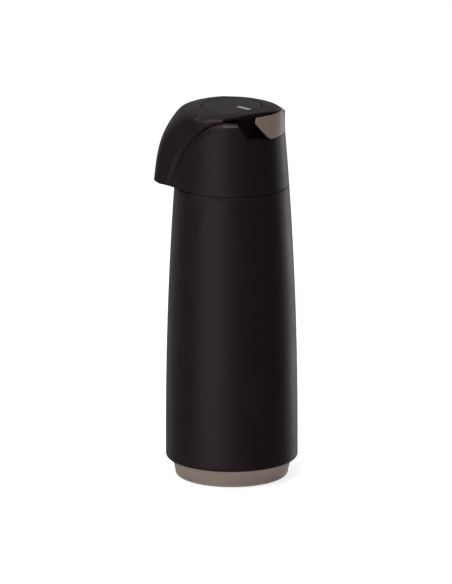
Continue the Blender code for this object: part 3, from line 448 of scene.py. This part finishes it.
def woven_mesh(name, rows, around=True, caps=False):
    """Join rows of points (in mm) into a closed skin. Each row is itself a closed loop."""
    shape = bmesh.new()
    grid = [[shape.verts.new(Vector(point) * MM) for point in row] for row in rows]
    count = len(grid[0])
    pairs = list(zip(grid, grid[1:]))
    if around:
        pairs.append((grid[-1], grid[0]))
    for near, far in pairs:
        for i in range(count):
            j = (i + 1) % count
            shape.faces.new((near[i], near[j], far[j], far[i]))
    if caps:
        shape.faces.new(grid[0])
        shape.faces.new(grid[-1])
    bmesh.ops.remove_doubles(shape, verts=shape.verts, dist=0.002 * MM)
    bmesh.ops.recalc_face_normals(shape, faces=shape.faces)
    mesh = bpy.data.meshes.new(name)
    shape.to_mesh(mesh)
    shape.free()
    piece = bpy.data.objects.new(name, mesh)
    bpy.context.scene.collection.objects.link(piece)
    return piece


def soften(piece, width, segments=2, angle=35):
    """Bevel the sharp edges and apply it."""
    bpy.ops.object.select_all(action="DESELECT")
    piece.select_set(True)
    bpy.context.view_layer.objects.active = piece
    bevel = piece.modifiers.new("edges", "BEVEL")
    bevel.width = width * MM
    bevel.segments = segments
    bevel.limit_method = "ANGLE"
    bevel.angle_limit = math.radians(angle)
    bpy.ops.object.modifier_apply(modifier=bevel.name)


def carve(piece, tool):
    """Cut a piece with another, apply the cut and throw the tool away."""
    bpy.ops.object.select_all(action="DESELECT")
    piece.select_set(True)
    bpy.context.view_layer.objects.active = piece
    step = piece.modifiers.new("cut", "BOOLEAN")
    step.operation = "DIFFERENCE"
    step.object = tool
    bpy.ops.object.modifier_apply(modifier=step.name)
    bpy.data.objects.remove(tool)


# ---------------------------------------------------------------- casing and base


def make_casing():
    count = 60
    outside = []
    for i in range(count + 1):
        height = CASING_HIGH - 0.5 - (CASING_HIGH - 0.5 - CASING_LOW - 3.2) * i / count
        outside.append((outer_radius(height), height))
    top = outer_radius(CASING_HIGH)
    inside = [(radius - CASING_WALL, height) for radius, height in reversed(outside[::6])]
    low = CASING_LOW
    outline = [
        *corner((top - 0.5, CASING_HIGH - 0.5), 0.5, 90, 10, 3),
        *outside,
        *corner((CASING_RADIUS - 3.0, low + 3.0), 3.0, -6, -90, 7),
        (54.2, low),
        (54.2, low + 2.4),
        (CASING_RADIUS - CASING_WALL, low + 3.4),
        *inside,
        (top - CASING_WALL, CASING_HIGH),
    ]
    casing = turned("casing", outline, 192)
    return finish_piece(casing, BLACK, "casing", "black_plastic", "outer_casing", smooth=50)


def make_base():
    outline = [
        (NECK_RADIUS, NECK_HIGH),
        (NECK_RADIUS, 16.3),
        (52.9, 15.9),
        *corner((BASE_RADIUS - 3.2 + 0.7, 3.4), 3.2, 14, -84, 8),
        (44.2, 0.15),
        (43.3, 0.4),
        (43.3, 1.7),
        (35.7, 1.7),
        (35.7, 0.4),
        (34.8, 0.1),
        (0.0, 0.1),
        (0.0, CUP_FLOOR),
        (43.9, CUP_FLOOR),
        (50.5, 14.0),
        (NECK_INSIDE, 16.0),
        (NECK_INSIDE, NECK_HIGH),
    ]
    cup = turned("base_cup_moulding", outline, 192)
    finish_piece(cup, TAUPE, "base", "taupe_plastic", "base_cup", smooth=40)
    ring_outline = [
        *corner((FOOT_OUTER - 0.4, 0.4), 0.4, -90, 0, 3),
        (FOOT_OUTER, FOOT_DEPTH),
        (FOOT_INNER, FOOT_DEPTH),
        *corner((FOOT_INNER + 0.4, 0.4), 0.4, 180, 270, 3),
    ]
    ring = turned("foot_ring_moulding", ring_outline, 144)
    return finish_piece(ring, RUBBER, "base", "dark_rubber", "foot_ring", smooth=50)


# ---------------------------------------------------------------- hood and shell


def seat_turns():
    """Turns of the skin's columns on the +X side, from the nose to the middle of the back."""
    nose = [i / 14 for i in range(14)]
    flank = [1.0 + i / 44 for i in range(44)]
    back = [2.0 + i / 80 for i in range(81)]
    return nose + flank + back


def ridge_line():
    """The parting between hood and shell in space, from the rim to the hood's tail tip, on +X."""
    points = []
    for turn in [1.0 + i / 60 for i in range(61)] + [2.0 + i / 60 for i in range(1, 61)]:
        level = crossing(turn, ridge_edge)
        if level is None:
            continue
        point = skin_point(turn, level)
        if point.y > TAIL_FRONT:
            break
        points.append(point)
    for i in range(49):
        edge = tail_point(i / 48)
        points.append(Vector((edge.x, edge.y, PARTING)))
    return np.array([tuple(point) for point in points])


def ridge_edge(y):
    return ridge_height(-y)


RIDGE_LINE = ridge_line()


def ridge_distance(point):
    """Shortest distance from a point to the parting line, on either side of the pot."""
    here = np.array((abs(point[0]), point[1], point[2]))
    first, last = RIDGE_LINE[:-1], RIDGE_LINE[1:]
    along = last - first
    share = np.clip(((here - first) * along).sum(1) / np.maximum((along**2).sum(1), 1e-9), 0, 1)
    return float(np.sqrt((((first + along * share[:, None]) - here) ** 2).sum(1).min()))


def ease(value, low, high):
    share = max(0.0, min(1.0, (value - low) / (high - low)))
    return share * share * (3 - 2 * share)


def groove_depth(point):
    """How deep the groove is here: shallow at the rim, full along the cheek, slight round the tail."""
    rise = 0.9 + 1.6 * ease(point[2], 268.0, 296.0)
    return rise - (rise - 0.5) * ease(point[1], -16.0, 20.0)


def hood_roll(point):
    return 4.2 - 3.0 * ease(point[1], -12.0, 26.0)


def ledge_width(point):
    """Width of the sunk band below the parting, wider towards the spout."""
    return LEDGE_SIDE + (LEDGE_FRONT - LEDGE_SIDE) * ease(-point[1], 10.0, 50.0)


def inward(turn, level):
    """Level direction from the skin to the inside, square to the outline."""
    step = 0.004
    ahead = skin_point(min(3.0, turn + step), level)
    behind = skin_point(max(0.0, turn - step), level)
    along = (ahead - behind).to_2d().normalized()
    return Vector((-along.y, along.x, 0.0))


def spaced(path, count, power=1.0):
    """The same path with count + 1 points, closer together at its start where power is above 1."""
    lengths = [0.0]
    for near, far in zip(path, path[1:]):
        lengths.append(lengths[-1] + (far - near).length)
    out = []
    k = 0
    for i in range(count + 1):
        want = lengths[-1] * (i / count) ** power
        while k < len(path) - 2 and lengths[k + 1] < want:
            k += 1
        span = max(lengths[k + 1] - lengths[k], 1e-9)
        out.append(path[k].lerp(path[k + 1], min(1.0, (want - lengths[k]) / span)))
    return out


def hood_section(side, round_size):
    """Outside of the hood from its lower edge over the rounded crest to the button's hole."""
    edge = side[-1]
    flat = edge.to_2d()
    size = min(round_size, 0.8 * sum((b - a).length for a, b in zip(side, side[1:])))
    tall = spaced(side, 80)
    while len(tall) > 2 and (tall[-1] - edge).length < size:
        tall.pop()
    over = min(0.6, 1.6 * round_size / (flat.length - HOLE_RADIUS))
    crown = []
    for k in range(41):
        share = over + (1.0 - over) * k / 40
        here = flat * (1.0 - share * (1.0 - (HOLE_RADIUS + 0.7) / flat.length))
        crown.append(Vector((here.x, here.y, crown_height(here.length))))
    start = edge + (tall[-1] - edge).normalized() * size
    fold = []
    for k in range(25):
        share = k / 24
        fold.append(start * (1 - share) ** 2 + edge * 2 * share * (1 - share) + crown[0] * share**2)
    return spaced([*tall, start], 30, 1.5)[:-1] + spaced(fold, 10)[:-1] + spaced(crown, 14)


def rolled(path):
    """Sink the part of a section near the parting line into the groove, square to the section."""
    out = []
    for i, point in enumerate(path):
        near = path[max(0, i - 1)]
        far = path[min(len(path) - 1, i + 1)]
        along = (far - near).normalized()
        outward = Vector((point.x, point.y, 0.0)).normalized()
        square = outward - along * outward.dot(along)
        if i > 40 or square.length < 0.1:
            square = Vector((0, 0, 1))
        square.normalize()
        roll = hood_roll(point)
        distance = ridge_distance(point)
        if distance < roll:
            rest = 1.0 - distance / roll
            point = point - square * groove_depth(point) * rest * rest
        out.append(point)
    return out


def make_hood():
    rows = []
    under = PARTING + SEAT_GAP
    for turn in seat_turns():
        if skin_point(turn, CREST_HEIGHT).y > TAIL_FRONT:
            break
        level = crossing(turn, ridge_edge)
        start = TIP_HEIGHT if level is None else min(level + 0.2, CREST_HEIGHT - 0.5)
        side = [skin_point(turn, start + (CREST_HEIGHT - start) * i / 60) for i in range(61)]
        rows.append(close_hood(rolled(hood_section(side, CREST_ROUND)), under))
    for i in range(1, 57):
        edge = tail_point(i / 56)
        high = crown_height(edge.length)
        foot = under - TAIL_DROP * (1.0 - ease(i, 0.0, 12.0))
        side = [Vector((edge.x, edge.y, foot + (high - foot) * k / 12)) for k in range(13)]
        size = CREST_ROUND - 3.5 * ease(edge.y, -8.0, 14.0)
        rows.append(close_hood(rolled(hood_section(side, size)), under))
    hood = woven_mesh("hood_moulding", close_pairs(rows))
    blend_crest(hood)
    return finish_piece(hood, BLACK, "head", "black_plastic", "hood", smooth=42)


def blend_crest(hood):
    """Ease the two spots of the crest where the flanks' rows all meet."""
    work = bmesh.new()
    work.from_mesh(hood.data)
    corner_place = skin_point(2.0, CREST_HEIGHT)
    for reach in (9.0, 7.0, 5.0):
        near = []
        for vert in work.verts:
            away = Vector((abs(vert.co.x), vert.co.y, vert.co.z)) - corner_place * MM
            if vert.co.z > (CREST_HEIGHT - 9.0) * MM and away.length < reach * MM:
                near.append(vert)
        axes = {"use_axis_x": True, "use_axis_y": True, "use_axis_z": True}
        for _ in range(6):
            bmesh.ops.smooth_vert(work, verts=near, factor=0.5, **axes)
    work.to_mesh(hood.data)
    work.free()


def close_pairs(rows):
    """Both halves of a piece that is the same left and right, without doubling the middle rows."""
    plain = [[tuple(point) for point in row] for row in rows]
    other = [[(-x, y, z) for x, y, z in row] for row in plain]
    return plain + other[-2:0:-1]


def close_hood(whole, under):
    """Add the hole's edge, the underside and the inner wall to a hood section."""
    way = whole[-1].to_2d().normalized()
    hole = [
        Vector((*(way * (HOLE_RADIUS + 0.25)), TOP - 0.1)),
        Vector((*(way * HOLE_RADIUS), TOP - 0.45)),
        Vector((*(way * HOLE_RADIUS), TOP - 2.0)),
        Vector((*(way * HOLE_RADIUS), under)),
    ]
    lip = whole[0]
    flat = lip.to_2d()
    inner_lip = flat * (1 - (WALL + 0.6) / flat.length)
    inner_top = way * min(outer_radius(under) - WALL - 2.0, inner_lip.length)
    rise = min(under, max(lip.z, under - 12.0))
    inner = [
        Vector((inner_top.x, inner_top.y, under)),
        Vector((inner_top.x, inner_top.y, rise)).lerp(Vector((inner_lip.x, inner_lip.y, lip.z)), 0.3),
        Vector((inner_lip.x, inner_lip.y, lip.z)),
    ]
    return [*whole, *hole, *inner]


def ledge_distance(point):
    """How far below the parting a point of the shell's outside lies."""
    if point.y > TAIL_FRONT:
        return PARTING - point.z
    return ridge_distance(point)


def beyond_ledge(turn, level):
    point = skin_point(turn, level)
    return ledge_distance(point) > ledge_width(point)


def ledge_start(turn, low, level):
    """Level at which the shell starts to sink towards the groove."""
    if beyond_ledge(turn, level) or not beyond_ledge(turn, low):
        return level - 0.6 if beyond_ledge(turn, level) else low
    near, far = low, level
    for _ in range(26):
        middle = (near + far) / 2
        if beyond_ledge(turn, middle):
            near = middle
        else:
            far = middle
    return near


def make_shell():
    turns = [turn for turn in seat_turns() if turn >= 1.0]
    rows = []
    for turn in turns:
        level = crossing(turn, cut_height)
        if level is None or level - TIP_HEIGHT < 1.2:
            continue
        rows.append(shell_row(turn, level - SEAT_GAP))
    plain = [[tuple(point) for point in row] for row in rows]
    other = [[(-x, y, z) for x, y, z in row] for row in plain]
    shell = woven_mesh("head_shell_moulding", plain + other[-2::-1], around=False, caps=True)
    return finish_piece(shell, BLACK, "head", "black_plastic", "head_shell", smooth=42)


def shell_row(turn, level):
    """Closed section of the shell at one column of the skin."""
    low = TIP_HEIGHT
    square = inward(turn, low)
    top = skin_point(turn, level)
    y = top.y
    recess = ease(y, TAIL_FRONT, RECESS_FRONT)
    foot = skin_point(turn, low)
    points = [
        foot + square * 2.2 + Vector((0, 0, 0.4)),
        foot + square * 0.7,
        foot + square * 0.3 + Vector((0, 0, 0.08)),
        skin_point(turn, low + 0.35) + square * 0.02,
    ]
    plain_rows = 30
    start = low + 0.5
    fold = max(ledge_start(turn, start, level), start)
    for i in range(plain_rows + 1):
        points.append(skin_point(turn, start + (fold - start) * i / plain_rows))
    ledge_rows = 10
    for i in range(1, ledge_rows + 1):
        here = skin_point(turn, fold + (level - fold) * i / ledge_rows)
        width = ledge_width(here)
        distance = min(width, max(0.0, ledge_distance(here)))
        depth = (groove_depth(here) if y < TAIL_FRONT else 2.0) + 0.2
        sink = depth * (1.0 - (distance / width) ** 2)
        if i == ledge_rows and y > RECESS_FRONT:
            sink += 0.35
        points.append(here + square * sink)
    tip = points[-1]
    if y < RECESS_FRONT:
        well = top + square * 6.0
        if y > TAIL_FRONT:
            target = Vector((math.sqrt(max(0.0, WELL_RADIUS**2 - y * y)), y, tip.z))
            well = well.lerp(target, recess)
        well = Vector((well.x, well.y, tip.z - 3.0 * ease(y, TAIL_FRONT, TAIL_FRONT + 3.0)))
    elif y >= FLOOR_START - 0.001:
        angle = math.atan2(top.x, y)
        widest = math.atan2(math.sqrt(WELL_RADIUS**2 - FLOOR_START**2), FLOOR_START)
        edge = math.atan2(math.sqrt(outer_radius(RECESS_FLOOR) ** 2 - FLOOR_START**2), FLOOR_START)
        angle = angle * widest / edge
        well = Vector((WELL_RADIUS * math.sin(angle), WELL_RADIUS * math.cos(angle), top.z))
    else:
        well = Vector((math.sqrt(WELL_RADIUS**2 - y * y), y, top.z))
    for i in range(1, 7):
        points.append(tip.lerp(well, i / 6))
    high = Vector((well.x, well.y, max(well.z, PARTING - 0.2) if y > TAIL_FRONT else well.z))
    for i in range(1, 5):
        points.append(well.lerp(high, i / 4))
    flat = high.to_2d()
    inner = flat * (1 - WALL / flat.length)
    points.append(Vector((inner.x, inner.y, high.z)))
    points.append(Vector((inner.x, inner.y, well.z - WALL)))
    wall_top = top + square * (WALL + 3.0 * (1 - ease(y, RECESS_FRONT, RECESS_FRONT + 4)))
    points.append(Vector((wall_top.x, wall_top.y, well.z - WALL - 0.5)))
    points.append(foot + square * 2.6 + Vector((0, 0, 6.0)))
    return points


# ---------------------------------------------------------------- grip


def grip_row(share, low, high, depth, thickness, narrow, columns):
    """Closed row of the grip at one height: outside one way, inside back."""
    height = low + (high - low) * share
    rise = max(0.0, min(1.0, (height - RECESS_FLOOR) / (GRIP_TOP - RECESS_FLOOR)))
    limit = math.radians(GRIP_LOW_ANGLE + GRIP_SPREAD * min(1.0, rise / GRIP_TURN)) - narrow
    if rise > GRIP_TURN:
        limit -= math.radians(3) * (rise - GRIP_TURN) / 0.25
    for corner_size, distance in ((2.6, height - low), (2.8, high - height)):
        if distance < corner_size:
            rest = 1.0 - distance / corner_size
            limit -= corner_size / 46.0 * (1.0 - math.sqrt(max(0.0, 1.0 - rest * rest)))
    outside = []
    inside = []
    cone = outer_radius(RECESS_FLOOR)
    for k in range(columns + 1):
        angle = limit * (2 * k / columns - 1)
        radius = cone + (tail_radius(angle, GRIP_OFFSET) - cone) * rise**1.3 - depth
        way = Vector((math.sin(angle), math.cos(angle), 0.0))
        up = Vector((0.0, 0.0, height))
        outside.append(way * radius + up)
        inside.append(way * (radius - thickness) + up)
    return outside + inside[::-1]


def make_grip():
    rows = []
    count = 40
    low, high = RECESS_FLOOR + 0.3, GRIP_TOP
    for i in range(count + 1):
        share = 0.5 - 0.5 * math.cos(math.pi * i / count)
        rows.append(grip_row(share, low, high, 0.0, GRIP_THICKNESS, 0.0, 72))
    grip = woven_mesh("rear_grip_moulding", rows, around=False, caps=True)
    soften(grip, 0.5, 3, 50)
    finish_piece(grip, TAUPE, "head", "taupe_plastic", "rear_grip", smooth=50)
    arch_rows = []
    arch_low = RECESS_FLOOR - 1.0
    narrow = math.radians(4)
    for i in range(25):
        arch_rows.append(grip_row(i / 24, arch_low, ARCH_TOP, 2.4, ARCH_THICKNESS, narrow, 60))
    arch = woven_mesh("grip_arch_moulding", arch_rows, around=False, caps=True)
    return finish_piece(arch, BLACK, "head", "black_plastic", smooth=50)


# ---------------------------------------------------------------- button


def make_button():
    radius = BUTTON_RADIUS
    low = TOP - BUTTON_DEPTH
    inside = radius - BUTTON_WALL
    ceiling = TOP - BUTTON_WALL
    outline = [
        (0.0, TOP),
        (14.0, TOP),
        (radius - 1.4, TOP),
        *corner((radius - BUTTON_EDGE, TOP - BUTTON_EDGE), BUTTON_EDGE, 90, 0, 5),
        (radius, TOP - 8.0),
        (radius, low),
        (inside, low),
        (inside, ceiling),
        (POST_RADIUS, ceiling),
        (POST_RADIUS, POST_LOW),
        (POST_BORE, POST_LOW),
        (POST_BORE, ceiling),
        (0.0, ceiling),
    ]
    button = turned("press_button_moulding", outline, 144)
    groove = bar("groove", 7.2, 23.2, 4.2, TOP - 1.1, TOP + 2.0)
    carve(button, groove)
    finish_piece(button, BLACK, "button", "black_plastic", "press_button", smooth=40)
    pointer = bar("pointer_inlay", POINTER_START, POINTER_END, POINTER_WIDTH, TOP - 0.8, TOP + 0.1)
    soften(pointer, 0.25, 3)
    return finish_piece(pointer, INLAY, "button", "grey_inlay", "pointer_bar", smooth=40)


def bar(name, start, end, width, low, high):
    """A straight bar along the pointer's direction, halfway between +X and +Y."""
    bpy.ops.object.select_all(action="DESELECT")
    bpy.ops.mesh.primitive_cube_add(size=1.0)
    piece = bpy.context.object
    piece.name = piece.data.name = name
    piece.data.transform(
        Matrix.Rotation(math.radians(45), 4, "Z")
        @ Matrix.Translation(Vector(((start + end) / 2, 0.0, (low + high) / 2)) * MM)
        @ Matrix.Diagonal((*(Vector((end - start, width, high - low)) * MM), 1.0))
    )
    return piece


# ---------------------------------------------------------------- camera, light, floor


def make_camera():
    data = bpy.data.cameras.new("camera")
    camera = bpy.data.objects.new("camera", data)
    bpy.context.scene.collection.objects.link(camera)
    aim = Vector((0.0, -5.1, 166.0)) * MM
    distance = 12.0
    across = 0.5157
    rise = math.radians(15)
    back = Vector((math.cos(rise), 0.0, math.sin(rise)))
    camera.location = aim + back * distance
    camera.rotation_mode = "QUATERNION"
    camera.rotation_quaternion = (-back).to_track_quat("-Z", "Y")
    data.sensor_width = 36.0
    data.lens = 36.0 * distance / across
    data.clip_start = 0.05
    data.clip_end = 50.0
    bpy.context.scene.camera = camera


def add_softbox(name, size, place, aim, power):
    data = bpy.data.lights.new(name, "AREA")
    data.shape = "RECTANGLE"
    data.size, data.size_y = size
    data.energy = power
    box = bpy.data.objects.new(name, data)
    bpy.context.scene.collection.objects.link(box)
    box.location = place
    box.rotation_mode = "QUATERNION"
    box.rotation_quaternion = (Vector(aim) - Vector(place)).to_track_quat("-Z", "Y")
    return box


def make_studio():
    world = bpy.data.worlds.new("studio")
    bpy.context.scene.world = world
    world.use_nodes = True
    tree = world.node_tree
    tree.nodes.clear()
    path = add_node(tree, "ShaderNodeLightPath")
    seen = add_node(tree, "ShaderNodeBackground", None, {"Color": (1, 1, 1, 1), "Strength": 1.0})
    way = add_node(tree, "ShaderNodeTexCoord")
    sides = add_node(tree, "ShaderNodeSeparateXYZ", None, None, {"Vector": way.outputs["Generated"]})
    glow = add_node(
        tree,
        "ShaderNodeMapRange",
        {"interpolation_type": "SMOOTHSTEP"},
        {"From Min": 0.0, "From Max": -1.0, "To Min": 0.012, "To Max": 0.30},
        {"Value": sides.outputs["X"]},
    )
    lit = add_node(
        tree, "ShaderNodeBackground", None, {"Color": (1, 1, 1, 1)}, {"Strength": glow.outputs["Result"]}
    )
    mix = add_node(
        tree,
        "ShaderNodeMixShader",
        None,
        None,
        {0: path.outputs["Is Camera Ray"], 1: lit.outputs[0], 2: seen.outputs[0]},
    )
    add_node(tree, "ShaderNodeOutputWorld", None, None, {"Surface": mix.outputs[0]})

    bpy.ops.object.select_all(action="DESELECT")
    bpy.ops.mesh.primitive_plane_add(size=6.0, location=(0.0, 0.0, -0.0002))
    floor = bpy.context.object
    floor.name = "floor"
    paper = bpy.data.materials.new("white studio paper")
    paper.use_nodes = True
    shader = paper.node_tree.nodes["Principled BSDF"]
    shader.inputs["Base Color"].default_value = (0.95, 0.95, 0.95, 1)
    shader.inputs["Roughness"].default_value = 0.9
    shader.inputs["Emission Color"].default_value = (1, 1, 1, 1)
    shader.inputs["Emission Strength"].default_value = 0.75
    floor.data.materials.append(paper)
    floor.visible_glossy = False
    floor.visible_shadow = False

    aim = (0.0, 0.0, 0.18)
    add_softbox("key", (2.0, 1.3), (1.75, -1.15, -0.2), aim, 7.6)
    add_softbox("upper_left", (1.3, 0.9), (0.9, -1.7, 1.5), aim, 9.0)
    add_softbox("top", (1.3, 1.3), (0.5, -0.3, 2.0), aim, 21.0)
    add_softbox("right_back", (0.6, 1.8), (-1.4, 1.3, 0.3), aim, 7.0)
    add_softbox("left_back", (0.4, 1.8), (-1.5, -1.2, 0.3), aim, 0.9)
    bpy.context.scene.view_settings.view_transform = "Standard"


# ---------------------------------------------------------------- assembly

make_camera()
make_studio()
make_casing()
make_base()
make_hood()
make_shell()
make_grip()
make_button()

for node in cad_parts.values():
    if not node.material_slots or not node.material_slots[0].material:
        continue
    slot = node.material_slots[0]
    old = slot.material.name
    for slot_name, material in FINISH.items():
        if slot_name in old:
            slot.material = material
